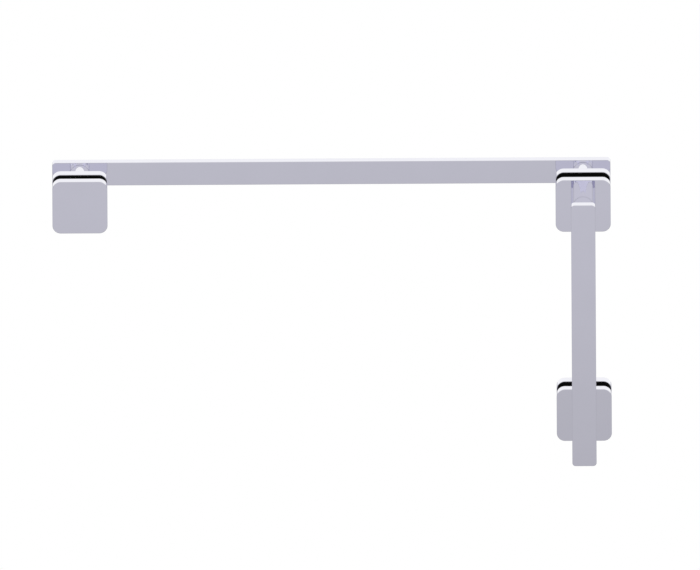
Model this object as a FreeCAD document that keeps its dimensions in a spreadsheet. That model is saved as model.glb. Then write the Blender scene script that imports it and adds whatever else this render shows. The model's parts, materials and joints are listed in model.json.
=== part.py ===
import FreeCAD, Part
import os
import Sketcher

# A towel bar and a pull handle for a glass shower door. They stand back to back, on the two sides
# of the glass, and share the fixing at one end of the bar. Square plates on black gaskets clamp
# the glass at three holes. The bar's other end and the handle's lower end have a blank cover plate
# on the far side of the glass.
#
# Sizes are in millimetres. X runs along the towel bar, Y from the handle's side of the glass to
# the towel bar's side, and Z up. The origin is the middle of the shared fixing, on the glass face
# that the towel bar's gaskets touch. The pieces are where they clamp the thinnest glass.

DRIVING_SIZES = (
    ("towel_hole_spacing", 457.2, "between the towel bar's two holes in the glass"),
    ("handle_hole_spacing", 203.2, "between the handle's two holes in the glass"),
    ("glass_thickness", 6.0, "the thinnest glass that the fixings clamp"),
    ("glass_hole_diameter", 12.0, "hole drilled in the glass"),
    ("clamp_travel", 6.0, "how far the fixings open for thicker glass"),
    ("plate_size", 50.0, "side of a square clamp plate"),
    ("back_plate_thickness", 9.9, "clamp plates and blank cover on the towel bar's side"),
    ("front_plate_thickness", 8.9, "clamp plates and blank cover on the handle's side"),
    ("plate_corner_radius", 7.5, "corners of the plates, seen from the front"),
    ("plate_edge_round", 0.4, "polished edge round each face of a plate"),
    ("plate_hole_clearance", 0.25, "gap round the stud in a plate"),
    ("cover_wall", 2.2, "metal left over the threaded hole of a blank cover"),
    ("gasket_inset", 0.8, "how far a gasket stays inside its plate's outline"),
    ("gasket_thickness", 1.8, "gaskets that touch the glass"),
    ("spacer_thickness", 2.5, "packing under the handle's two plates"),
    ("sleeve_clearance", 0.25, "gap between a sleeve and the hole in the glass"),
    ("sleeve_bore_clearance", 0.3, "gap between a sleeve and its stud"),
    ("post_diameter", 18.0, "round posts"),
    ("post_head_chamfer", 0.9, "edge of a post where it meets its bar"),
    ("towel_post_length", 57.4, "showing, from plate to towel bar"),
    ("handle_post_length", 56.3, "showing, from plate to handle"),
    ("post_seat_depth", 1.0, "recess in a plate that centres its post"),
    ("post_seat_clearance", 0.05, "gap round the post in that recess"),
    ("bar_width", 22.0, "flat bars, seen from the front"),
    ("bar_thickness", 8.5, "flat bars, front to back"),
    ("bar_corner_radius", 3.0, "corners of the bars, seen from the front"),
    ("bar_edge_round", 0.4, "polished edge round each face of a bar"),
    ("bar_wall", 3.0, "metal left over a threaded hole in a bar"),
    ("stud_diameter", 8.0, "studs through the glass"),
    ("stud_seat_depth", 20.0, "shared stud in the towel bar's post"),
    ("stud_grip", 16.0, "stud left inside a sliding post on the thickest glass"),
    ("stud_fit", 0.05, "gap round a stud or screw in its hole"),
    ("stud_socket_size", 4.0, "across the flats of a stud's hexagon socket"),
    ("stud_socket_depth", 4.0, "depth of that socket"),
    ("stud_chamfer", 0.6, "ends of studs and set screws"),
    ("hole_end_space", 1.0, "left past the end of a stud in a blind hole"),
    ("joining_stud_diameter", 6.0, "studs that join posts and bars"),
    ("joining_stud_depth", 12.0, "joining stud in its post"),
    ("set_screw_diameter", 5.0, "screws that lock a post on its stud"),
    ("set_screw_place", 8.0, "from the plate's face to a set screw"),
    ("set_screw_recess", 0.4, "set screw below the post's surface"),
    ("set_screw_socket_size", 2.5, "across the flats of a set screw's socket"),
    ("set_screw_socket_depth", 2.0, "depth of that socket"),
)

document = FreeCAD.newDocument("GlassDoorTowelBar")
sheet = document.addObject("Spreadsheet::Sheet", "Sizes")
for row, (alias, size, note) in enumerate(DRIVING_SIZES, start=1):
    sheet.set(f"A{row}", alias)
    sheet.set(f"B{row}", str(size))
    sheet.set(f"C{row}", note)
    sheet.setAlias(f"B{row}", alias)
document.recompute()

# Where things are, as expressions on the sheet. Heights are measured away from the glass face that
# a piece's gasket touches, whichever side of the glass it is on.
TOWEL_SIDE = "towel side"
HANDLE_SIDE = "handle side"
SHARED_X = "0"
LEFT_X = "-Sizes.towel_hole_spacing"
UPPER_Z = "0"
LOWER_Z = "-Sizes.handle_hole_spacing"
PLATE_THICKNESS = {
    TOWEL_SIDE: "Sizes.back_plate_thickness",
    HANDLE_SIDE: "Sizes.front_plate_thickness",
}
PLATE_FOOT = "Sizes.gasket_thickness"
RAISED_FOOT = "(Sizes.gasket_thickness + Sizes.spacer_thickness)"
TOWEL_PLATE_HEAD = f"{PLATE_FOOT} + {PLATE_THICKNESS[TOWEL_SIDE]}"
HANDLE_PLATE_HEAD = f"{RAISED_FOOT} + {PLATE_THICKNESS[HANDLE_SIDE]}"
TOWEL_POST_FOOT = f"({TOWEL_PLATE_HEAD} - Sizes.post_seat_depth)"
HANDLE_POST_FOOT = f"({HANDLE_PLATE_HEAD} - Sizes.post_seat_depth)"
TOWEL_BAR_FOOT = f"({TOWEL_PLATE_HEAD} + Sizes.towel_post_length)"
HANDLE_BAR_FOOT = f"({HANDLE_PLATE_HEAD} + Sizes.handle_post_length)"

# Sizes that follow from the driving ones.
STUD_HOLE = "Sizes.stud_diameter + 2 * Sizes.stud_fit"
SLIDE_DEPTH = "(Sizes.stud_grip + Sizes.clamp_travel)"
SLIDE_HOLE_DEPTH = f"{SLIDE_DEPTH} + Sizes.hole_end_space"
SEAT_HOLE_DEPTH = "Sizes.stud_seat_depth + Sizes.hole_end_space"
JOINING_HOLE = "Sizes.joining_stud_diameter + 2 * Sizes.stud_fit"
JOINING_HOLE_DEPTH = "Sizes.joining_stud_depth + Sizes.hole_end_space"
BAR_HOLE_DEPTH = "(Sizes.bar_thickness - Sizes.bar_wall)"
COVER_HOLE_DEPTH = {
    side: f"({thickness} - Sizes.cover_wall)" for side, thickness in PLATE_THICKNESS.items()
}
SET_SCREW_HOLE = "Sizes.set_screw_diameter + 2 * Sizes.stud_fit"
SET_SCREW_TIP = "(Sizes.stud_diameter / 2 + Sizes.stud_fit)"
SET_SCREW_FOOT = "(Sizes.post_diameter / 2 - Sizes.set_screw_recess)"

Z_AXIS = FreeCAD.Vector(0, 0, 1)
TOWARDS_TOWEL = FreeCAD.Rotation(FreeCAD.Vector(1, 0, 0), -90)
TOWARDS_HANDLE = FreeCAD.Rotation(Z_AXIS, 180).multiply(TOWARDS_TOWEL)
POINT_DOWN = FreeCAD.Rotation(FreeCAD.Vector(1, 0, 0), 180)
SMALLEST_CUT = 0.1
FLAT_WITHIN = 0.01

sub_parts = []


def new_body(label):
    body = document.addObject("PartDesign::Body", label)
    body.Label = label
    return body


def keep(piece):
    """Lists a finished piece as a sub-part of the object, which gets a file of its own."""
    sub_parts.append(piece)
    return piece


def place(piece, side, x, height, z):
    """Stands a piece on one side of the glass. Its own Z axis points away from the glass there,
    and its own +Y side comes underneath."""
    turn = TOWARDS_TOWEL if side == TOWEL_SIDE else TOWARDS_HANDLE
    away = height if side == TOWEL_SIDE else f"-(Sizes.glass_thickness + {height})"
    piece.Placement = FreeCAD.Placement(FreeCAD.Vector(), turn)
    piece.setExpression("Placement.Base.x", x)
    piece.setExpression("Placement.Base.y", away)
    piece.setExpression("Placement.Base.z", z)
    document.recompute()
    return piece


def sketch_on(body, role, offset):
    """A sketch on one of the body's own origin planes, moved along the plane's normal."""
    sketch = body.newObject("Sketcher::SketchObject", "Sketch")
    plane = next(item for item in body.Origin.OriginFeatures if item.Role == role)
    sketch.AttachmentSupport = [(plane, "")]
    sketch.MapMode = "FlatFace"
    sketch.setExpression("AttachmentOffset.Base.z", offset)
    return sketch


def size_constraint(sketch, name, constraint, expression):
    index = sketch.addConstraint(constraint)
    sketch.renameConstraint(index, name)
    sketch.setExpression(f"Constraints.{name}", expression)


def circle_sketch(body, diameter, offset="0"):
    """A circle round the piece's own Z axis."""
    sketch = sketch_on(body, "XY_Plane", offset)
    sketch.addGeometry(Part.Circle(FreeCAD.Vector(), Z_AXIS, 5))
    sketch.addConstraint(Sketcher.Constraint("Coincident", 0, 3, -1, 1))
    size_constraint(sketch, "across", Sketcher.Constraint("Diameter", 0, 10), diameter)
    return sketch


def add_polygon(sketch, corners):
    """Closes straight lines through the corners, in order, and ties their ends together."""
    for start, end in zip(corners, corners[1:] + corners[:1]):
        sketch.addGeometry(Part.LineSegment(start, end))
    for line in range(len(corners)):
        after = (line + 1) % len(corners)
        sketch.addConstraint(Sketcher.Constraint("Coincident", line, 2, after, 1))


def rectangle_sketch(body, width, height):
    """A rectangle centred on the piece's own Z axis."""
    sketch = sketch_on(body, "XY_Plane", "0")
    corners = [FreeCAD.Vector(x, y, 0) for x, y in ((-9, -9), (9, -9), (9, 9), (-9, 9))]
    add_polygon(sketch, corners)
    for line, direction in enumerate(("Horizontal", "Vertical", "Horizontal", "Vertical")):
        sketch.addConstraint(Sketcher.Constraint(direction, line))
    sketch.addConstraint(Sketcher.Constraint("Symmetric", 0, 1, 1, 2, -1, 1))
    size_constraint(sketch, "width", Sketcher.Constraint("DistanceX", 0, 1, 0, 2, 18), width)
    size_constraint(sketch, "height", Sketcher.Constraint("DistanceY", 1, 1, 1, 2, 18), height)
    return sketch


def hexagon_sketch(body, across_flats, offset):
    """A regular hexagon round the piece's own Z axis, its corners on a construction circle."""
    sketch = sketch_on(body, "XY_Plane", offset)
    turn = FreeCAD.Rotation(Z_AXIS, 60)
    corners = [FreeCAD.Vector(2, 0, 0)]
    while len(corners) < 6:
        corners.append(turn.multVec(corners[-1]))
    add_polygon(sketch, corners)
    circle = sketch.addGeometry(Part.Circle(FreeCAD.Vector(), Z_AXIS, 2), True)
    sketch.addConstraint(Sketcher.Constraint("Coincident", circle, 3, -1, 1))
    sketch.addConstraint(Sketcher.Constraint("PointOnObject", 0, 1, -1))
    for line in range(6):
        sketch.addConstraint(Sketcher.Constraint("PointOnObject", line, 1, circle))
        if line:
            sketch.addConstraint(Sketcher.Constraint("Equal", 0, line))
    radius = f"({across_flats}) / sqrt(3)"
    size_constraint(sketch, "corner_radius", Sketcher.Constraint("Radius", circle, 2), radius)
    return sketch


def pad(body, sketch, length):
    feature = body.newObject("PartDesign::Pad", "Pad")
    feature.Profile = sketch
    feature.setExpression("Length", length)
    document.recompute()
    return feature


def pocket(body, sketch, depth, upward=False):
    """Cuts down the plane's normal, or up it, and makes sure that metal was there to cut."""
    before = body.Shape.Volume
    feature = body.newObject("PartDesign::Pocket", "Pocket")
    feature.Profile = sketch
    feature.Reversed = upward
    feature.setExpression("Length", depth)
    document.recompute()
    if body.Shape.Volume > before - SMALLEST_CUT:
        raise RuntimeError(f"{body.Label}: a pocket cut nothing")
    return feature


def dress_edges(body, kind, size_name, size, chosen):
    """Rounds or chamfers those edges of the body for which chosen(edge) is true."""
    base = body.Tip
    names = [f"Edge{n}" for n, edge in enumerate(base.Shape.Edges, start=1) if chosen(edge)]
    if not names:
        raise RuntimeError(f"{body.Label}: no edge to dress")
    feature = body.newObject(f"PartDesign::{kind}", kind)
    feature.Base = (base, names)
    feature.setExpression(size_name, size)
    document.recompute()
    return feature


def lies_flat(edge):
    return edge.BoundBox.ZLength < FLAT_WITHIN


def runs_along_z(edge):
    across = edge.BoundBox.XLength + edge.BoundBox.YLength
    return across < FLAT_WITHIN and not lies_flat(edge)


def lies_in_head_of(body):
    """A test for the edges that lie in the body's far end face."""
    head = body.Shape.BoundBox.ZMax
    return lambda edge: edge.BoundBox.ZMin > head - FLAT_WITHIN


# Flat pieces that a press or a mill makes from plate: a rounded outline, as thick as stated.
def slab(label, width, height, corner_radius, thickness):
    body = new_body(label)
    pad(body, rectangle_sketch(body, width, height), thickness)
    dress_edges(body, "Fillet", "Radius", corner_radius, runs_along_z)
    return body


# Chromed clamp plates. The foot is the glass side. A plate that carries a post has a clearance
# hole for the stud and a shallow round recess that centres the post.
def clamp_plate(label, side):
    size = "Sizes.plate_size"
    body = slab(label, size, size, "Sizes.plate_corner_radius", PLATE_THICKNESS[side])
    dress_edges(body, "Fillet", "Radius", "Sizes.plate_edge_round", lies_flat)
    return body


def post_plate(label, side, x, foot, z):
    body = clamp_plate(label, side)
    through = "Sizes.stud_diameter + 2 * Sizes.plate_hole_clearance"
    pocket(body, circle_sketch(body, through), PLATE_THICKNESS[side], upward=True)
    seat = "Sizes.post_diameter + 2 * Sizes.post_seat_clearance"
    pocket(body, circle_sketch(body, seat, PLATE_THICKNESS[side]), "Sizes.post_seat_depth")
    return keep(place(body, side, x, foot, z))


# Blank covers: the same plate with only a blind threaded hole in its foot.
def blank_cover(label, side, x, z):
    body = clamp_plate(label, side)
    pocket(body, circle_sketch(body, STUD_HOLE), COVER_HOLE_DEPTH[side], upward=True)
    return keep(place(body, side, x, PLATE_FOOT, z))


# Rubber gaskets and packing: the plate's outline less an inset, with a hole for the sleeve.
def washer(label, side, x, foot, z, thickness):
    size = "Sizes.plate_size - 2 * Sizes.gasket_inset"
    corner = "Sizes.plate_corner_radius - Sizes.gasket_inset"
    body = slab(label, size, size, corner, thickness)
    pocket(body, circle_sketch(body, "Sizes.glass_hole_diameter"), thickness, upward=True)
    return keep(place(body, side, x, foot, z))


# Plastic sleeves that keep a stud off the glass. They start at the plate on the towel bar's side
# and reach through the gasket and the thinnest glass.
def sleeve(label, x, z):
    body = new_body(label)
    length = f"{PLATE_FOOT} + Sizes.glass_thickness"
    outside = "Sizes.glass_hole_diameter - 2 * Sizes.sleeve_clearance"
    inside = "Sizes.stud_diameter + 2 * Sizes.sleeve_bore_clearance"
    pad(body, circle_sketch(body, outside), length)
    pocket(body, circle_sketch(body, inside), length, upward=True)
    return keep(place(body, TOWEL_SIDE, x, "-Sizes.glass_thickness", z))


# Round posts. The foot stands in the plate's recess and takes the stud. The chamfered head meets the
# bar and takes the joining stud. A post that slides on its stud has a set screw's hole underneath.
def post(label, side, x, foot, z, showing_length, stud_hole_depth, has_set_screw):
    body = new_body(label)
    length = f"{showing_length} + Sizes.post_seat_depth"
    pad(body, circle_sketch(body, "Sizes.post_diameter"), length)
    dress_edges(body, "Chamfer", "Size", "Sizes.post_head_chamfer", lies_in_head_of(body))
    pocket(body, circle_sketch(body, STUD_HOLE), stud_hole_depth, upward=True)
    pocket(body, circle_sketch(body, JOINING_HOLE, length), JOINING_HOLE_DEPTH)
    if has_set_screw:
        sketch = sketch_on(body, "XZ_Plane", "0")
        sketch.addGeometry(Part.Circle(FreeCAD.Vector(0, 8, 0), Z_AXIS, 2))
        sketch.addConstraint(Sketcher.Constraint("PointOnObject", 0, 3, -2))
        screw_height = "Sizes.post_seat_depth + Sizes.set_screw_place"
        height = Sketcher.Constraint("DistanceY", -1, 1, 0, 3, 8)
        size_constraint(sketch, "height", height, screw_height)
        size_constraint(sketch, "across", Sketcher.Constraint("Diameter", 0, 4), SET_SCREW_HOLE)
        pocket(body, sketch, "Sizes.post_diameter")
    return keep(place(body, side, x, foot, z))


# Flat bars, towel bar and handle alike, as long as their holes' spacing and one plate's size, so
# that they end in line with the plates. The foot is the face that the posts meet.
def flat_bar(label, side, foot, width, height, middle_x, middle_z, hole_places):
    body = slab(label, width, height, "Sizes.bar_corner_radius", "Sizes.bar_thickness")
    dress_edges(body, "Fillet", "Radius", "Sizes.bar_edge_round", lies_flat)
    for across, along in hole_places:
        sketch = sketch_on(body, "XY_Plane", "0")
        sketch.addGeometry(Part.Circle(FreeCAD.Vector(), Z_AXIS, 2))
        place_x = Sketcher.Constraint("DistanceX", -1, 1, 0, 3, 1)
        place_y = Sketcher.Constraint("DistanceY", -1, 1, 0, 3, 1)
        size_constraint(sketch, "across", place_x, across)
        size_constraint(sketch, "along", place_y, along)
        size_constraint(sketch, "hole", Sketcher.Constraint("Diameter", 0, 4), JOINING_HOLE)
        pocket(body, sketch, BAR_HOLE_DEPTH, upward=True)
    return keep(place(body, side, middle_x, foot, middle_z))


# Threaded rod pieces, with the threads left plain: a stud or a set screw with chamfered ends and
# a hexagon socket in its far end.
def rod(label, diameter, length, socket_size="", socket_depth=""):
    body = new_body(label)
    pad(body, circle_sketch(body, diameter), length)
    dress_edges(body, "Chamfer", "Size", "Sizes.stud_chamfer", lies_flat)
    if socket_size:
        pocket(body, hexagon_sketch(body, socket_size, length), socket_depth)
    return body


def stud(label, side, x, foot, z, length):
    body = rod(label, "Sizes.stud_diameter", length, "Sizes.stud_socket_size", "Sizes.stud_socket_depth")
    return keep(place(body, side, x, foot, z))


def set_screw(label, side, x, post_foot, z):
    """Points up at the post's axis from underneath, its socket at the bottom."""
    length = f"{SET_SCREW_FOOT} - {SET_SCREW_TIP}"
    socket = ("Sizes.set_screw_socket_size", "Sizes.set_screw_socket_depth")
    body = rod(label, "Sizes.set_screw_diameter", length, *socket)
    height = f"({post_foot} + Sizes.post_seat_depth + Sizes.set_screw_place)"
    place(body, side, x, height, f"{z} - {SET_SCREW_TIP}")
    body.Placement = FreeCAD.Placement(body.Placement.Base, POINT_DOWN)
    return body


def joining_stud(label, side, x, bar_foot, z):
    length = f"Sizes.joining_stud_depth + {BAR_HOLE_DEPTH}"
    body = rod(label, "Sizes.joining_stud_diameter", length)
    return place(body, side, x, f"({bar_foot} - Sizes.joining_stud_depth)", z)


def group(label, pieces):
    """Identical fasteners as one sub-part of separate solids."""
    compound = document.addObject("Part::Compound", label)
    compound.Label = label
    compound.Links = pieces
    document.recompute()
    return keep(compound)


# The towel bar and its two posts, on the far side of the glass.
towel_length = "Sizes.towel_hole_spacing + Sizes.plate_size"
handle_length = "Sizes.handle_hole_spacing + Sizes.plate_size"
towel_hole_x = "Sizes.towel_hole_spacing / 2"
handle_hole_z = "Sizes.handle_hole_spacing / 2"

flat_bar(
    "towel_bar", TOWEL_SIDE, TOWEL_BAR_FOOT, towel_length, "Sizes.bar_width",
    f"-{towel_hole_x}", UPPER_Z, ((f"-{towel_hole_x}", "0"), (towel_hole_x, "0")),
)
post(
    "towel_post_left", TOWEL_SIDE, LEFT_X, TOWEL_POST_FOOT, UPPER_Z,
    "Sizes.towel_post_length", SLIDE_HOLE_DEPTH, has_set_screw=True,
)
post(
    "towel_post_right", TOWEL_SIDE, SHARED_X, TOWEL_POST_FOOT, UPPER_Z,
    "Sizes.towel_post_length", SEAT_HOLE_DEPTH, has_set_screw=False,
)
group(
    "towel_joining_studs",
    [
        joining_stud(name, TOWEL_SIDE, x, TOWEL_BAR_FOOT, UPPER_Z)
        for name, x in (("joining_stud_left", LEFT_X), ("joining_stud_right", SHARED_X))
    ],
)
group(
    "towel_post_set_screw",
    [set_screw("set_screw_left", TOWEL_SIDE, LEFT_X, TOWEL_POST_FOOT, UPPER_Z)],
)
for name, x in (("left", LEFT_X), ("upper", SHARED_X)):
    post_plate(f"back_plate_{name}", TOWEL_SIDE, x, PLATE_FOOT, UPPER_Z)
    washer(f"back_gasket_{name}", TOWEL_SIDE, x, "0", UPPER_Z, "Sizes.gasket_thickness")
    sleeve(f"glass_sleeve_{name}", x, UPPER_Z)

# The pull handle and its two posts, on the near side of the glass.
flat_bar(
    "handle_bar", HANDLE_SIDE, HANDLE_BAR_FOOT, "Sizes.bar_width", handle_length,
    SHARED_X, f"-{handle_hole_z}", (("0", f"-{handle_hole_z}"), ("0", handle_hole_z)),
)
handle_fixings = (("upper", UPPER_Z), ("lower", LOWER_Z))
for name, z in handle_fixings:
    post(
        f"handle_post_{name}", HANDLE_SIDE, SHARED_X, HANDLE_POST_FOOT, z,
        "Sizes.handle_post_length", SLIDE_HOLE_DEPTH, has_set_screw=True,
    )
    post_plate(f"front_plate_{name}", HANDLE_SIDE, SHARED_X, RAISED_FOOT, z)
    washer(f"front_gasket_{name}", HANDLE_SIDE, SHARED_X, "0", z, "Sizes.gasket_thickness")
    washer(f"front_spacer_{name}", HANDLE_SIDE, SHARED_X, PLATE_FOOT, z, "Sizes.spacer_thickness")
group(
    "handle_joining_studs",
    [
        joining_stud(f"joining_stud_{name}", HANDLE_SIDE, SHARED_X, HANDLE_BAR_FOOT, z)
        for name, z in handle_fixings
    ],
)
group(
    "handle_post_set_screws",
    [
        set_screw(f"set_screw_{name}", HANDLE_SIDE, SHARED_X, HANDLE_POST_FOOT, z)
        for name, z in handle_fixings
    ],
)

# The blank cover at the bar's left end, on the near side, and the one behind the handle's lower
# end, on the far side.
blank_cover("front_cover_left", HANDLE_SIDE, LEFT_X, UPPER_Z)
washer("front_gasket_left", HANDLE_SIDE, LEFT_X, "0", UPPER_Z, "Sizes.gasket_thickness")
blank_cover("back_cover_lower", TOWEL_SIDE, SHARED_X, LOWER_Z)
washer("back_gasket_lower", TOWEL_SIDE, SHARED_X, "0", LOWER_Z, "Sizes.gasket_thickness")
sleeve("glass_sleeve_lower", SHARED_X, LOWER_Z)

# The studs through the glass. The shared one is fixed in the towel bar's right post, and the other
# two in their covers. Each slides in the post that faces it until that post's screw locks it.
stud(
    "shared_stud", HANDLE_SIDE, SHARED_X,
    f"-(Sizes.glass_thickness + {TOWEL_POST_FOOT} + Sizes.stud_seat_depth)", UPPER_Z,
    f"Sizes.stud_seat_depth + {TOWEL_POST_FOOT} + Sizes.glass_thickness"
    f" + {HANDLE_POST_FOOT} + {SLIDE_DEPTH}",
)
for label, side, x, z, cover_side, post_foot in (
    ("left_cover_stud", TOWEL_SIDE, LEFT_X, UPPER_Z, HANDLE_SIDE, TOWEL_POST_FOOT),
    ("lower_cover_stud", HANDLE_SIDE, SHARED_X, LOWER_Z, TOWEL_SIDE, HANDLE_POST_FOOT),
):
    below_face = f"{COVER_HOLE_DEPTH[cover_side]} + {PLATE_FOOT} + Sizes.glass_thickness"
    stud(label, side, x, f"-({below_face})", z, f"{below_face} + {post_foot} + {SLIDE_DEPTH}")

document.recompute()
for item in document.Objects:
    if "Invalid" in item.State or "Error" in item.State:
        raise RuntimeError(f"{item.Label} did not rebuild: {item.State}")
for piece in sub_parts:
    if piece.Shape.isNull() or not piece.Shape.isValid():
        raise RuntimeError(f"{piece.Label} has no valid shape")

os.makedirs("parts", exist_ok=True)
for piece in sub_parts:
    piece.Shape.exportStep(f"parts/{piece.Label}.step")
    box = piece.Shape.BoundBox
    print(
        f"{piece.Label:24s} {len(piece.Shape.Solids)} solid(s) {piece.Shape.Volume:9.1f} mm3"
        f"  x {box.XMin:8.2f} {box.XMax:8.2f}  y {box.YMin:7.2f} {box.YMax:7.2f}"
        f"  z {box.ZMin:8.2f} {box.ZMax:8.2f}"
    )
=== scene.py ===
import json
import math

import bmesh
import bpy
import numpy as np
from mathutils import Matrix, Vector


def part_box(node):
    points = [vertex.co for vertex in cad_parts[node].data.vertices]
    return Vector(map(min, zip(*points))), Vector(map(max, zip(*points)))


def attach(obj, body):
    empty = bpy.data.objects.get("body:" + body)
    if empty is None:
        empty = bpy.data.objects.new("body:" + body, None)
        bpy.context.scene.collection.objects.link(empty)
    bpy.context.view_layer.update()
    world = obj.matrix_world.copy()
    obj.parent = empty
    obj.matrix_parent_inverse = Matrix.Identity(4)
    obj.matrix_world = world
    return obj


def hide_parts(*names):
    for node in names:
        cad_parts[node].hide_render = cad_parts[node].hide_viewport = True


# A chromed towel bar and pull handle for a glass shower door, put together from the outside in:
# bars, posts, plates, then the rubber, plastic and steel that the chromed pieces hide.
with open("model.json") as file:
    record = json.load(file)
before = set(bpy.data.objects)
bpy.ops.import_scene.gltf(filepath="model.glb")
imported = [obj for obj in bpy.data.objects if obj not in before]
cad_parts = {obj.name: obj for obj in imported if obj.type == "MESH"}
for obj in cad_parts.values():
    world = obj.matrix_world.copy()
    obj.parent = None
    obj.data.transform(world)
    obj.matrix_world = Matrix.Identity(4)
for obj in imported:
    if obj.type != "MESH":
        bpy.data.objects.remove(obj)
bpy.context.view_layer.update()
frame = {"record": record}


# ---------------------------------------------------------------------------------------------
# Flat bars: the towel bar and the pull handle. They are sawn from flat brass, their corners and
# edges rounded on a belt, then polished and chromed. Each has two threaded holes in its back.

MM = 0.001
BAR_CORNER = 3.0 * MM
BAR_EDGE_ROUND = 0.4 * MM
BAR_HOLE_RADIUS = 3.05 * MM
BAR_HOLE_DEPTH = 5.5 * MM
SUPPORT = 0.06 * MM  # a narrow row beside each rounded edge keeps the flat faces' shading flat
CREASE = math.radians(30)
RUN_UP = 1.0 * MM  # a drill starts this far outside the metal


def rounded_outline(half_width, half_height, corner, inset, height, arc_steps=14, side_steps=16):
    """A closed row of points (a, b, height) on a rounded rectangle. Each corner is a quarter circle
    of the corner radius less the inset, round a centre one corner radius in from both sides, and
    even steps along a straight line join one corner to the next."""
    turn = np.linspace(0, np.pi / 2, arc_steps + 1)
    angle = turn + np.arange(4)[:, None] * np.pi / 2
    centre_a = (half_width - corner) * np.array([1, -1, -1, 1])[:, None]
    centre_b = (half_height - corner) * np.array([1, 1, -1, -1])[:, None]
    arcs = np.stack(
        [centre_a + (corner - inset) * np.cos(angle), centre_b + (corner - inset) * np.sin(angle)], -1
    )
    share = np.linspace(0, 1, side_steps + 2)[1:-1, None]
    ends, starts = arcs[:, -1:, :], np.roll(arcs, -1, axis=0)[:, :1, :]
    row = np.concatenate([arcs, ends + share * (starts - ends)], axis=1).reshape(-1, 2)
    return np.column_stack([row, np.full(len(row), height)])


def edge_profile(thickness, edge, steps):
    """(inset, height) pairs from the foot face, round both edges, to the head face. Round an edge
    the inset is edge * (1 - sin t) and the height edge * (1 - cos t), for t from 0 to 90 degrees."""
    t = np.linspace(0, np.pi / 2, steps + 1)
    inset, rise = edge * (1 - np.sin(t)), edge * (1 - np.cos(t))
    foot = [(edge + SUPPORT, 0.0), *zip(inset, rise), (0.0, edge + SUPPORT)]
    return foot + [(i, thickness - h) for i, h in reversed(foot)]


def slab_rows(node, corner, edge, edge_steps=8):
    """The outer rows of a flat piece as large as its node: the rounded outline, drawn in by each
    inset of the edge profile and raised to its height."""
    width, thickness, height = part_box(node)[1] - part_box(node)[0]
    return [
        rounded_outline(width / 2, height / 2, corner, inset, rise)
        for inset, rise in edge_profile(thickness, edge, edge_steps)
    ]


def skin(rows, tips=()):
    """Points and faces of a surface through rows of equally many points, each row a closed loop.
    Four-sided faces join neighbouring rows. Without tips the last row joins the first, and with
    two tips a fan of triangles closes each end on its tip."""
    rows = np.asarray(rows, float)
    count, around = rows.shape[:2]
    ring = np.arange(around)
    after = np.roll(ring, -1)
    joined = np.arange(count - 1 if len(tips) else count)
    low, high = (joined * around)[:, None], ((joined + 1) % count * around)[:, None]
    quads = np.stack([low + ring, low + after, high + after, high + ring], -1).reshape(-1, 4)
    points, faces = rows.reshape(-1, 3), quads.tolist()
    for row, tip in zip((0, count - 1), tips):
        points = np.vstack([points, tip])
        centre = np.full(around, len(points) - 1)
        faces += np.stack([row * around + ring, row * around + after, centre], -1).tolist()
    return points, faces


def middle_of(node):
    low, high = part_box(node)
    return (low + high) / 2


def foot_of(node):
    """The Y of a piece's foot, the side of its box that faces the glass, and 1 or -1 for away."""
    low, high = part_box(node)
    return (low.y, 1) if low.y + high.y > 0 else (high.y, -1)


def stand(points, node):
    """Moves points from a piece's own axes into place: a goes to X, b to Z, and the height away
    from the glass, from the piece's foot."""
    foot, away = foot_of(node)
    middle = middle_of(node)
    return np.column_stack([
        middle.x + points[:, 0], foot + away * points[:, 2], middle.z + points[:, 1]
    ])


def outward_mesh(name, points, faces):
    mesh = bpy.data.meshes.new(name)
    mesh.from_pydata(np.asarray(points, float).tolist(), [], faces)
    build = bmesh.new()
    build.from_mesh(mesh)
    bmesh.ops.recalc_face_normals(build, faces=build.faces)
    build.to_mesh(mesh)
    build.free()
    return mesh


body_of_node = {
    node: body for body, nodes in frame["record"]["behaviour"]["bodies"].items() for node in nodes
}


def finished_piece(name, points, faces, node, material):
    """Makes the mesh, shades it smooth but for its creases, and lets it stand for its node on the
    node's own body."""
    mesh = outward_mesh(name, points, faces)
    mesh.shade_smooth()
    mesh.set_sharp_from_angle(angle=CREASE)
    mesh.materials.append(material)
    piece = bpy.data.objects.new(name, mesh)
    bpy.context.collection.objects.link(piece)
    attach(piece, body_of_node[node])
    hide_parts(node)


def drill_shape(radius, length, around=48):
    """A closed cylinder on its own Z axis, from height 0 to its length."""
    angle = np.arange(around) * 2 * np.pi / around
    circle = np.column_stack([radius * np.cos(angle), radius * np.sin(angle), 0 * angle])
    return skin([circle, circle + [0, 0, length]], tips=((0, 0, 0), (0, 0, length)))


def drilled(points, faces, start, direction, radius, depth):
    """Points and faces with a round hole cut in, from start along direction, as a boolean
    difference with a closed cylinder."""
    work = []
    for label, shape in (("metal", (points, faces)), ("drill", drill_shape(radius, depth))):
        work.append(bpy.data.objects.new(label, outward_mesh(label, *shape)))
        bpy.context.collection.objects.link(work[-1])
    metal, drill = work
    turn = Vector((0, 0, 1)).rotation_difference(Vector(direction)).to_matrix().to_4x4()
    drill.matrix_world = Matrix.Translation(Vector(start)) @ turn
    cut = metal.modifiers.new("hole", "BOOLEAN")
    cut.operation = "DIFFERENCE"
    cut.solver = "EXACT"
    cut.object = drill
    bpy.context.view_layer.update()
    result = metal.evaluated_get(bpy.context.evaluated_depsgraph_get()).to_mesh()
    flat = np.empty(len(result.vertices) * 3)
    result.vertices.foreach_get("co", flat)
    cut_points, cut_faces = flat.reshape(-1, 3), [list(p.vertices) for p in result.polygons]
    for thing in work:
        bpy.data.objects.remove(thing)
    return cut_points, cut_faces


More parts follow.
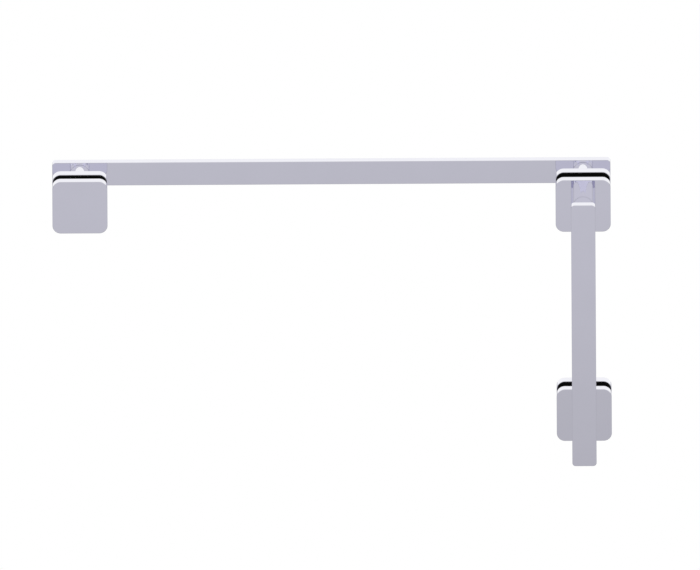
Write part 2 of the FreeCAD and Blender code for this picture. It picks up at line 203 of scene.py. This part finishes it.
def linked(tree, kind, sockets, **settings):
    """A new node with its settings, and with sockets or plain values put into its inputs."""
    node = tree.nodes.new(f"ShaderNode{kind}")
    for name, value in settings.items():
        setattr(node, name, value)
    for key, value in sockets.items():
        if isinstance(value, bpy.types.NodeSocket):
            tree.links.new(value, node.inputs[key])
        else:
            node.inputs[key].default_value = value
    return node


def surface_group(name, numbers, colours):
    """An empty node group of a surface, and its inputs: a place, numbers and colours. Its outputs
    are a roughness, a colour and a height."""
    group = bpy.data.node_groups.new(name, "ShaderNodeTree")
    face = group.interface
    face.new_socket("Place", in_out="INPUT", socket_type="NodeSocketVector")
    for label, value in numbers.items():
        face.new_socket(label, in_out="INPUT", socket_type="NodeSocketFloat").default_value = value
    for label in colours:
        face.new_socket(label, in_out="INPUT", socket_type="NodeSocketColor")
    for label, kind in (("Roughness", "Float"), ("Colour", "Color"), ("Height", "Float")):
        face.new_socket(label, in_out="OUTPUT", socket_type=f"NodeSocket{kind}")
    return group, group.nodes.new("NodeGroupInput").outputs


def put_out(group, roughness, colour, height):
    out = group.nodes.new("NodeGroupOutput")
    for label, source in (("Roughness", roughness), ("Colour", colour), ("Height", height)):
        group.links.new(source, out.inputs[label])


LINES_A_METRE = (40, 2600, 2600)  # long along X, fine across it


def buffed_group():
    """Buffing marks: a haze over centimetres and fine lines along X, both noises from 0 to 1. The
    roughness rises from the clearest to the haziest with haze times lines. The colour is the base,
    times a shade that rises to 1 with the haze. The height is the lines."""
    numbers = {"Hazes a metre": 30.0, "Clearest": 0.02, "Haziest": 0.05, "Shade": 0.985}
    group, given = surface_group("buffed_surface", numbers, ("Base",))
    haze = linked(group, "TexNoise", {
        "Vector": given["Place"], "Scale": given["Hazes a metre"], "Detail": 3,
    }).outputs["Fac"]
    stretched = linked(group, "Mapping", {"Vector": given["Place"], "Scale": LINES_A_METRE})
    lines = linked(group, "TexNoise", {
        "Vector": stretched.outputs["Vector"], "Scale": 1, "Detail": 2,
    }).outputs["Fac"]
    both = linked(group, "Math", {0: haze, 1: lines}, operation="MULTIPLY")
    rough = linked(group, "MapRange", {
        "Value": both.outputs["Value"], "From Min": 0.1, "From Max": 0.5,
        "To Min": given["Clearest"], "To Max": given["Haziest"],
    })
    shade = linked(group, "MapRange", {
        "Value": haze, "From Min": 0.3, "From Max": 0.7, "To Min": given["Shade"], "To Max": 1.0,
    })
    sockets = {"Vector": given["Base"], "Scale": shade.outputs["Result"]}
    tint = linked(group, "VectorMath", sockets, operation="SCALE")
    put_out(group, rough.outputs["Result"], tint.outputs["Vector"], lines)
    return group


def finish(name, group, look, shader_values, relief, relief_depth, turned=(0, 0, 0)):
    """A material: a surface group on Object coordinates, turned by so many degrees about X, Y and
    Z, gives the shader its colour, its roughness and, through a bump, its relief."""
    material = bpy.data.materials.new(name)
    material.use_nodes = True
    tree = material.node_tree
    shader = tree.nodes["Principled BSDF"]
    for label, value in shader_values.items():
        shader.inputs[label].default_value = value
    place = linked(tree, "TexCoord", {}).outputs["Object"]
    rotation = [math.radians(angle) for angle in turned]
    place = linked(tree, "Mapping", {"Vector": place, "Rotation": rotation}).outputs["Vector"]
    surface = linked(tree, "Group", {"Place": place, **look}, node_tree=group).outputs
    sockets = {"Height": surface["Height"], "Strength": relief, "Distance": relief_depth}
    bump = linked(tree, "Bump", sockets)
    tree.links.new(surface["Colour"], shader.inputs["Base Color"])
    tree.links.new(surface["Roughness"], shader.inputs["Roughness"])
    tree.links.new(bump.outputs["Normal"], shader.inputs["Normal"])
    return material


buffed = buffed_group()
CHROME_COLOUR = (0.785, 0.78, 0.865, 1)


def polished_chrome(name, buffed_along=(0, 0, 0), haziest=0.045):
    """Bright chrome over polished brass, its fine lines turned by buffed_along from X."""
    look = {"Base": CHROME_COLOUR, "Clearest": 0.018, "Haziest": haziest}
    return finish(name, buffed, look, {"Metallic": 1.0}, 0.012, 0.02 * MM, buffed_along)


for name, node, posts, chrome in (
    (
        "polished_towel_bar", "towel_bar", ("towel_post_left", "towel_post_right"),
        polished_chrome("chrome_buffed_along_the_towel_bar"),
    ),
    (
        "polished_handle", "handle_bar", ("handle_post_upper", "handle_post_lower"),
        polished_chrome("chrome_buffed_down_the_handle", buffed_along=(0, 90, 0)),
    ),
):
    rows = slab_rows(node, BAR_CORNER, BAR_EDGE_ROUND)
    points, faces = skin(rows, tips=((0, 0, 0), (0, 0, rows[-1][0, 2])))
    points = stand(points, node)
    foot, away = foot_of(node)
    for post in posts:
        start = (middle_of(post).x, foot - away * RUN_UP, middle_of(post).z)
        points, faces = drilled(
            points, faces, start, (0, away, 0), BAR_HOLE_RADIUS, BAR_HOLE_DEPTH + RUN_UP
        )
    finished_piece(name, points, faces, node, chrome)


# ---------------------------------------------------------------------------------------------
# Round posts, turned from brass bar, polished and chromed. The foot is bored for the stud and the
# head threaded for the joining stud. Three of them have a threaded cross hole for a set screw.

HOLE_MOUTH = 0.25 * MM
FOOT_CHAMFER = 0.25 * MM
HEAD_CHAMFER = 0.9 * MM
STUD_HOLE_RADIUS = 4.05 * MM
SLIDING_HOLE_DEPTH = 23 * MM
FIXED_HOLE_DEPTH = 21 * MM
JOINING_HOLE_DEPTH = 13 * MM
SET_SCREW_HOLE_RADIUS = 2.55 * MM
SET_SCREW_PLACE = 9 * MM  # from the post's foot
DRILL_POINT = 0.3  # height of a drilled hole's cone as a share of its radius


def turned(profile, around=144):
    """The rows of a turned piece: each (radius, height) pair of the profile sweeps a circle."""
    angle = np.arange(around) * 2 * np.pi / around
    radius, height = np.array(profile).T
    return np.stack([
        radius[:, None] * np.cos(angle), radius[:, None] * np.sin(angle),
        np.repeat(height[:, None], around, axis=1),
    ], -1)


def bored_end(hole_radius, depth, outer_radius, chamfer):
    """(radius, height) pairs from a blind hole's bottom, out of its countersunk mouth, across the
    end face at height 0 and over its chamfered rim to the start of the side."""
    return [
        (hole_radius, depth), (hole_radius, HOLE_MOUTH), (hole_radius + HOLE_MOUTH, 0.0),
        (outer_radius - chamfer, 0.0), (outer_radius, chamfer),
    ]


post_chrome = polished_chrome("chrome_buffed_round_the_posts", haziest=0.05)
for node, slides in (
    ("towel_post_left", True), ("towel_post_right", False),
    ("handle_post_upper", True), ("handle_post_lower", True),
):
    low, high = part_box(node)
    radius, length = (high.x - low.x) / 2, high.y - low.y
    depth = SLIDING_HOLE_DEPTH if slides else FIXED_HOLE_DEPTH
    foot = bored_end(STUD_HOLE_RADIUS, depth, radius, FOOT_CHAMFER)
    head = bored_end(BAR_HOLE_RADIUS, JOINING_HOLE_DEPTH, radius, HEAD_CHAMFER)
    profile = foot + [(r, length - h) for r, h in reversed(head)]
    tips = (
        (0, 0, depth + DRILL_POINT * STUD_HOLE_RADIUS),
        (0, 0, length - JOINING_HOLE_DEPTH - DRILL_POINT * BAR_HOLE_RADIUS),
    )
    points, faces = skin(turned(profile), tips)
    if slides:
        points, faces = drilled(
            points, faces, (0, 0, SET_SCREW_PLACE), (0, -1, 0), SET_SCREW_HOLE_RADIUS, 2 * radius
        )
    finished_piece(f"polished_{node}", stand(points, node), faces, node, post_chrome)


# ---------------------------------------------------------------------------------------------
# Clamp plates, milled from brass plate, their edges softened, then polished and chromed. A round
# recess in the head centres the post, and a clearance hole in it passes the stud.

PLATE_CORNER = 7.5 * MM
PLATE_EDGE_ROUND = 0.4 * MM
PLATE_HOLE_RADIUS = 4.25 * MM
SEAT_RADIUS = 9.05 * MM
SEAT_DEPTH = 1.0 * MM
SEAT_CHAMFER = 0.03 * MM
HOLE_CHAMFER = 0.15 * MM


def circles(rows, profile):
    """A circle row for each (radius, height) pair. Its points are at the bearings of the outer
    rows' points, so that straight faces join the two."""
    bearing = np.arctan2(rows[0][:, 1], rows[0][:, 0])
    return [
        np.column_stack([
            radius * np.cos(bearing), radius * np.sin(bearing), np.full(len(bearing), height)
        ])
        for radius, height in profile
    ]


plate_chrome = polished_chrome("chrome_buffed_across_the_plates")
for node in ("back_plate_left", "back_plate_upper", "front_plate_upper", "front_plate_lower"):
    rows = slab_rows(node, PLATE_CORNER, PLATE_EDGE_ROUND)
    head = rows[-1][0, 2]
    seat = head - SEAT_DEPTH
    rows += circles(rows, (
        (SEAT_RADIUS + SEAT_CHAMFER, head), (SEAT_RADIUS, head - SEAT_CHAMFER), (SEAT_RADIUS, seat),
        (PLATE_HOLE_RADIUS + HOLE_CHAMFER, seat), (PLATE_HOLE_RADIUS, seat - HOLE_CHAMFER),
        (PLATE_HOLE_RADIUS, HOLE_CHAMFER), (PLATE_HOLE_RADIUS + HOLE_CHAMFER, 0),
    ))
    points, faces = skin(rows)
    finished_piece(f"polished_{node}", stand(points, node), faces, node, plate_chrome)


# ---------------------------------------------------------------------------------------------
# Blank covers: the same plate with an unbroken face and only a blind threaded hole in its foot.
# A short stud fixed in that hole reaches through the glass to the post on the other side.

COVER_WALL = 2.2 * MM

for node in ("front_cover_left", "back_cover_lower"):
    rows = slab_rows(node, PLATE_CORNER, PLATE_EDGE_ROUND)
    head = rows[-1][0, 2]
    bottom = head - COVER_WALL
    mouth = circles(rows, (
        (STUD_HOLE_RADIUS, bottom), (STUD_HOLE_RADIUS, HOLE_CHAMFER),
        (STUD_HOLE_RADIUS + HOLE_CHAMFER, 0),
    ))
    points, faces = skin(mouth + rows, tips=((0, 0, bottom), (0, 0, head)))
    finished_piece(f"polished_{node}", stand(points, node), faces, node, plate_chrome)


# ---------------------------------------------------------------------------------------------
# Gaskets and packing, stamped from black rubber sheet, a little smaller than the plates. The clamp
# squeezes them against the glass, so their cut edges are slightly rounded.

RUBBER_CORNER = 6.7 * MM
RUBBER_EDGE = 0.35 * MM
RUBBER_HOLE_RADIUS = 6.0 * MM


def mixed(tree, share, first, second):
    """The first colour where the share is 0, and the second where it is 1."""
    sockets = {"Factor": share, "A": first, "B": second}
    return linked(tree, "Mix", sockets, data_type="RGBA").outputs["Result"]


PATCHES_A_METRE = 90


def moulded_group():
    """The skin of rubber or plastic, with two noises from 0 to 1. Wide patches mix the base colour
    with the worn one and raise the roughness from the smoothest to the roughest, and a fine grain
    is the height."""
    numbers = {"Grains a metre": 1500.0, "Smoothest": 0.6, "Roughest": 0.8}
    group, given = surface_group("moulded_skin", numbers, ("Base", "Worn"))
    grain, patches = (
        linked(group, "TexNoise", {"Vector": given["Place"], "Scale": dots, "Detail": 4}).outputs["Fac"]
        for dots in (given["Grains a metre"], PATCHES_A_METRE)
    )
    rough = linked(group, "MapRange", {
        "Value": patches, "From Min": 0.35, "From Max": 0.65,
        "To Min": given["Smoothest"], "To Max": given["Roughest"],
    })
    colour = mixed(group, patches, given["Base"], given["Worn"])
    put_out(group, rough.outputs["Result"], colour, grain)
    return group


moulded = moulded_group()
rubber = finish(
    "black_rubber_sheet", moulded,
    {
        "Base": (0.0016, 0.0016, 0.0018, 1), "Worn": (0.0032, 0.0032, 0.0036, 1),
        "Smoothest": 0.75, "Roughest": 0.95,
    },
    {"Specular IOR Level": 0.08}, relief=0.5, relief_depth=0.03 * MM,
)
for node in (
    "back_gasket_left", "back_gasket_upper", "back_gasket_lower", "front_gasket_left",
    "front_gasket_upper", "front_gasket_lower", "front_spacer_upper", "front_spacer_lower",
):
    rows = slab_rows(node, RUBBER_CORNER, RUBBER_EDGE, edge_steps=4)
    rows += circles(rows, ((RUBBER_HOLE_RADIUS, rows[-1][0, 2]), (RUBBER_HOLE_RADIUS, 0)))
    points, faces = skin(rows)
    finished_piece(f"rubber_{node}", stand(points, node), faces, node, rubber)


# ---------------------------------------------------------------------------------------------
# Sleeves of natural white nylon, turned from tube. Each is pushed over a stud and fills the hole
# in the glass, so that no steel touches the glass.

SLEEVE_CHAMFER = 0.3 * MM
SLEEVE_BORE_RADIUS = 4.3 * MM

nylon = finish(
    "natural_nylon", moulded,
    {
        "Base": (0.80, 0.80, 0.76, 1), "Worn": (0.86, 0.86, 0.84, 1),
        "Smoothest": 0.35, "Roughest": 0.5,
    },
    {"Specular IOR Level": 0.5, "Subsurface Weight": 0.3, "Subsurface Scale": 1.5 * MM},
    relief=0.5, relief_depth=0.01 * MM,
)
for node in ("glass_sleeve_left", "glass_sleeve_upper", "glass_sleeve_lower"):
    low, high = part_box(node)
    outside, length = (high.x - low.x) / 2, high.y - low.y
    end = [
        (SLEEVE_BORE_RADIUS, SLEEVE_CHAMFER), (SLEEVE_BORE_RADIUS + SLEEVE_CHAMFER, 0.0),
        (outside - SLEEVE_CHAMFER, 0.0), (outside, SLEEVE_CHAMFER),
    ]
    profile = end + [(r, length - h) for r, h in reversed(end)]
    points, faces = skin(turned(profile, around=96))
    finished_piece(f"nylon_{node}", stand(points, node), faces, node, nylon)


# ---------------------------------------------------------------------------------------------
# Studs through the glass, rolled from stainless steel rod and chamfered. The end that slides in a
# post has a broached hexagon socket.

STUD_PITCH = 1.25 * MM
STUD_SOCKET = 4.0 * MM
STUD_SOCKET_DEPTH = 4.0 * MM
ROD_CHAMFER = 0.6 * MM
THREAD_AROUND = 48
ROWS_A_TURN = 12
THREAD_DEPTH = 0.6  # as a share of the pitch
CREST_SHARE = 0.12  # of the way from a crest's middle to a root's middle that is flat crest
FLANK_SHARE = 0.66  # of that way that is sloping flank
SOCKET_POINT = 1 / 6  # height of the cone at a socket's bottom as a share of the socket's size


def threaded_rod(diameter, length, pitch, socket_size=0.0, socket_depth=0.0):
    """Points and faces of a rod with a real thread. At bearing t and height h the thread's phase
    is the fraction of h / pitch - t / 360 degrees. The radius falls from the crest in a straight
    flank to a flat root at half a phase and back, and near an end it is no more than the chamfer's.
    A socket's sides are at half its size over the cosine of the bearing from a side's middle."""
    crest = diameter / 2
    angle = np.arange(THREAD_AROUND) * 2 * np.pi / THREAD_AROUND
    height = np.linspace(0, length, int(length / pitch * ROWS_A_TURN) + 1)[:, None]
    phase = (height / pitch - angle / (2 * np.pi)) % 1.0
    towards_root = 1 - np.abs(2 * phase - 1)
    cut = np.clip((towards_root - CREST_SHARE) / FLANK_SHARE, 0, 1)
    radius = crest - THREAD_DEPTH * pitch * cut
    from_end = np.minimum(height, length - height)
    radius = np.minimum(radius, crest - ROD_CHAMFER + from_end)
    rows = list(np.stack([
        radius * np.cos(angle), radius * np.sin(angle), np.repeat(height, THREAD_AROUND, 1)
    ], -1))
    tips = [(0, 0, 0), (0, 0, length)]
    if socket_size:
        sixth = np.pi / 3
        reach = socket_size / 2 / np.cos(angle % sixth - sixth / 2)
        socket = np.column_stack([reach * np.cos(angle), reach * np.sin(angle), 0 * angle])
        rows += [socket + [0, 0, length], socket + [0, 0, length - socket_depth]]
        tips[1] = (0, 0, length - socket_depth - SOCKET_POINT * socket_size)
    return skin(rows, tips)


def rod_between(start, end, shape):
    """Turns a rod's points from its own Z axis onto the line from start to end."""
    points, faces = shape
    turn = Vector((0, 0, 1)).rotation_difference(Vector(end) - Vector(start))
    return points @ np.array(turn.to_matrix()).T + np.array(start), faces


steel = finish(
    "turned_stainless_steel", buffed,
    {"Base": (0.60, 0.60, 0.61, 1), "Clearest": 0.22, "Haziest": 0.36, "Shade": 0.9},
    {"Metallic": 1.0}, relief=0.2, relief_depth=0.02 * MM,
)
for node, socket_side in (("shared_stud", -1), ("left_cover_stud", 1), ("lower_cover_stud", -1)):
    low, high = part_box(node)
    middle = middle_of(node)
    start, end = ((middle.x, y, middle.z) for y in (low.y, high.y)[::socket_side])
    shape = threaded_rod(
        high.x - low.x, high.y - low.y, STUD_PITCH, STUD_SOCKET, STUD_SOCKET_DEPTH
    )
    points, faces = rod_between(start, end, shape)
    finished_piece(f"threaded_{node}", points, faces, node, steel)


# ---------------------------------------------------------------------------------------------
# Joining studs, short threaded pieces of the same steel without a socket. Half of each is screwed
# into a post's head and half into the back of a bar.

JOINING_PITCH = 1.0 * MM
JOINING_DIAMETER = 6.0 * MM


def together(shapes):
    """One list of points and faces out of several."""
    points, faces, start = [], [], 0
    for some_points, some_faces in shapes:
        points.append(some_points)
        faces += [[corner + start for corner in face] for face in some_faces]
        start += len(some_points)
    return np.vstack(points), faces


for node, posts in (
    ("towel_joining_studs", ("towel_post_left", "towel_post_right")),
    ("handle_joining_studs", ("handle_post_upper", "handle_post_lower")),
):
    low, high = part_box(node)
    shape = threaded_rod(JOINING_DIAMETER, high.y - low.y, JOINING_PITCH)
    points, faces = together(
        rod_between((axis.x, low.y, axis.z), (axis.x, high.y, axis.z), shape)
        for axis in map(middle_of, posts)
    )
    finished_piece(f"threaded_{node}", points, faces, node, steel)


# ---------------------------------------------------------------------------------------------
# Set screws of the same steel, with a hexagon socket. They are screwed up into the posts from
# underneath until they press on the studs, and end just below the posts' surface.

SCREW_PITCH = 0.8 * MM
SCREW_SOCKET = 2.5 * MM
SCREW_SOCKET_DEPTH = 2.0 * MM
SCREW_RECESS = 0.4 * MM

for node, posts in (
    ("towel_post_set_screw", ("towel_post_left",)),
    ("handle_post_set_screws", ("handle_post_upper", "handle_post_lower")),
):
    low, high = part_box(node)
    diameter, y = high.y - low.y, middle_of(node).y
    rods = []
    for post in posts:
        axis, underside = middle_of(post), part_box(post)[0].z
        tip, foot = axis.z - STUD_HOLE_RADIUS, underside + SCREW_RECESS
        shape = threaded_rod(diameter, tip - foot, SCREW_PITCH, SCREW_SOCKET, SCREW_SOCKET_DEPTH)
        rods.append(rod_between((axis.x, y, tip), (axis.x, y, foot), shape))
    points, faces = together(rods)
    finished_piece(f"threaded_{node}", points, faces, node, steel)


# ---------------------------------------------------------------------------------------------
# The studio: a pale floor well below the object, and pale walls and ceiling. Chrome shows what it
# faces, so the floor glows with painted shade and light for it: a painted shadow, darker right below
# the object, and painted light that changes with distance. Grey cards stand in front, behind and at the
# sides, and there is a dimmer patch right overhead.

FLOOR_DROP = 1.05
FLOOR_SIZE = 8.6
WHITE = (1.0, 1.0, 1.0, 1.0)
# Where one side's colours give way to the next's, by how far a direction points along +Y, away from
# the handle's side, and by how far it points sideways.
FLOOR_TURNS = (-0.4, 0.4)
WALLS_TURN = (-0.25, 0.25)
BESIDE = (0.42, 0.75)


def ramp_of(tree, value, stops):
    """A colour ramp on a value from 0 to 1, with (position, grey or colour) stops."""
    ramp = linked(tree, "ValToRGB", {"Fac": value})
    elements = ramp.color_ramp.elements
    elements[0].position, elements[1].position = stops[0][0], stops[-1][0]
    for position, _ in stops[1:-1]:
        elements.new(position)
    for element, (_, colour) in zip(elements, stops):
        element.color = (*colour, 1)
    return ramp.outputs["Color"]


def share_of(tree, value, start, end, kind="SMOOTHSTEP"):
    """How far a value is on its way from start to end, from 0 to 1."""
    limits = {"Value": value, "From Min": start, "From Max": end}
    return linked(tree, "MapRange", limits, interpolation_type=kind).outputs["Result"]


def sideways(tree, direction):
    """The size of a direction's X part, and its Y and Z parts."""
    parts = linked(tree, "SeparateXYZ", {0: direction})
    across = linked(tree, "Math", {0: parts.outputs["X"]}, operation="ABSOLUTE")
    return across.outputs[0], parts.outputs["Y"], parts.outputs["Z"]


# The floor's glow by how far away it is, from 0 to its reach: painted shade and painted light that only
# reflections see, with a painted shadow right below the object.
FLOOR_REACH = 5.0
# Painted shadow: the dark grey right below the object, where its shade would fall on the floor.
SHADOW_RIGHT_BELOW = (0.0, (0.33, 0.327, 0.345))
FLOOR_IN_FRONT = (
    SHADOW_RIGHT_BELOW, (0.455, (0.565, 0.563, 0.584)), (0.56, (0.631, 0.63, 0.66)),
    (0.62, (0.645, 0.645, 0.674)), (1.0, (0.60, 0.597, 0.62)),
)
FLOOR_BEHIND = (
    SHADOW_RIGHT_BELOW, (0.54, (0.76, 0.76, 0.79)), (0.60, (0.76, 0.76, 0.79)),
    (0.70, (0.62, 0.62, 0.64)), (1.0, (0.60, 0.60, 0.62)),
)
FLOOR_BESIDE = (SHADOW_RIGHT_BELOW, (0.56, (0.52, 0.515, 0.54)), (1.0, (0.42, 0.417, 0.44)))


def floor_material():
    material = bpy.data.materials.new("floor_glowing_painted_shade")
    material.use_nodes = True
    tree = material.node_tree
    tree.nodes.clear()
    place = tree.nodes.new("ShaderNodeTexCoord").outputs["Object"]
    distance = linked(tree, "VectorMath", {0: place}, operation="LENGTH").outputs["Value"]
    away = share_of(tree, distance, 0.0, FLOOR_REACH, "LINEAR")
    outwards = linked(tree, "VectorMath", {0: place}, operation="NORMALIZE").outputs["Vector"]
    across, along, _ = sideways(tree, outwards)
    behind = share_of(tree, along, *FLOOR_TURNS)
    lit = mixed(tree, behind, ramp_of(tree, away, FLOOR_IN_FRONT), ramp_of(tree, away, FLOOR_BEHIND))
    lit = mixed(tree, share_of(tree, across, *BESIDE), lit, ramp_of(tree, away, FLOOR_BESIDE))
    # The camera sees the floor plain white; rays off the chrome see the painted shadow and painted
    # light.
    seen = tree.nodes.new("ShaderNodeLightPath").outputs["Is Camera Ray"]
    pale = linked(tree, "Emission", {"Color": mixed(tree, seen, lit, WHITE)})
    linked(tree, "OutputMaterial", {"Surface": pale.outputs[0]})
    return material


floor_mesh = bpy.data.meshes.new("floor")
half = FLOOR_SIZE / 2
corners = [(-half, -half, 0), (half, -half, 0), (half, half, 0), (-half, half, 0)]
floor_mesh.from_pydata(corners, [], [(0, 1, 2, 3)])
floor_mesh.materials.append(floor_material())
floor = bpy.data.objects.new("floor", floor_mesh)
floor.location.z = -FLOOR_DROP
bpy.context.collection.objects.link(floor)

# The walls and the ceiling, by how high a direction points, from 0 straight down to 1 straight up.
SKY_WHITE = (1.09, 1.095, 1.065)
OVERHEAD = ((0.80, SKY_WHITE), (0.86, (0.8, 0.8, 0.8)), (1.0, (0.55, 0.55, 0.56)))
WALLS_IN_FRONT = (
    SHADOW_RIGHT_BELOW, (0.38, (0.78, 0.775, 0.785)), (0.5, (0.81, 0.81, 0.81)),
    (0.68, (0.84, 0.84, 0.83)), (0.76, (0.93, 0.93, 0.92)), *OVERHEAD[1:],
)
WALLS_BEHIND = (
    SHADOW_RIGHT_BELOW, (0.35, (0.8, 0.8, 0.82)), (0.385, SKY_WHITE), *OVERHEAD,
)
WALLS_BESIDE = (
    SHADOW_RIGHT_BELOW, (0.38, (0.42, 0.417, 0.44)), (0.5, (0.36, 0.36, 0.38)),
    (0.58, (0.45, 0.45, 0.46)), (0.70, (0.75, 0.75, 0.75)), *OVERHEAD[1:],
)
CARD_GREY = (0.60, 0.597, 0.62, 1.0)
CARD_EDGE = (0.30, 0.22)  # a round card's soft edge, by how far a direction turns from Y

world = bpy.data.worlds.new("white_studio")
bpy.context.scene.world = world
world.use_nodes = True
sky = world.node_tree
direction = sky.nodes.new("ShaderNodeTexCoord").outputs["Generated"]
across, along, up = sideways(sky, direction)
height = share_of(sky, up, -1.0, 1.0, "LINEAR")
behind = share_of(sky, along, *WALLS_TURN)
walls = mixed(sky, behind, ramp_of(sky, height, WALLS_IN_FRONT), ramp_of(sky, height, WALLS_BEHIND))
walls = mixed(sky, share_of(sky, across, *BESIDE), walls, ramp_of(sky, height, WALLS_BESIDE))
off_line = linked(sky, "VectorMath", {0: direction, 1: (1, 0, 1)}, operation="MULTIPLY")
off_line = linked(sky, "VectorMath", {0: off_line.outputs["Vector"]}, operation="LENGTH")
card = share_of(sky, off_line.outputs["Value"], *CARD_EDGE)
walls = mixed(sky, card, walls, CARD_GREY)
seen = sky.nodes.new("ShaderNodeLightPath").outputs["Is Camera Ray"]
sky.links.new(mixed(sky, seen, walls, WHITE), sky.nodes["Background"].inputs["Color"])

bpy.context.scene.view_settings.view_transform = "Standard"

# The camera looks along +Y, 20.8 degrees down, turned 0.31 degrees about its own axis.
CAMERA_ELEVATION = math.radians(20.76)
CAMERA_ROLL = math.radians(0.312)
CAMERA_DISTANCE = 3.0
VIEW_WIDTH = 0.6360
VIEW_CENTRE = (-0.21177, -0.07853)  # across and up from the shared fixing, as the camera sees it

tilt = Matrix.Rotation(math.pi / 2 - CAMERA_ELEVATION, 4, "X")
camera = bpy.data.objects.new("camera", bpy.data.cameras.new("camera"))
camera.data.type = "ORTHO"
camera.data.ortho_scale = VIEW_WIDTH
camera.matrix_world = (
    tilt @ Matrix.Rotation(-CAMERA_ROLL, 4, "Z")
    @ Matrix.Translation((*VIEW_CENTRE, CAMERA_DISTANCE))
)
bpy.context.collection.objects.link(camera)
bpy.context.scene.camera = camera
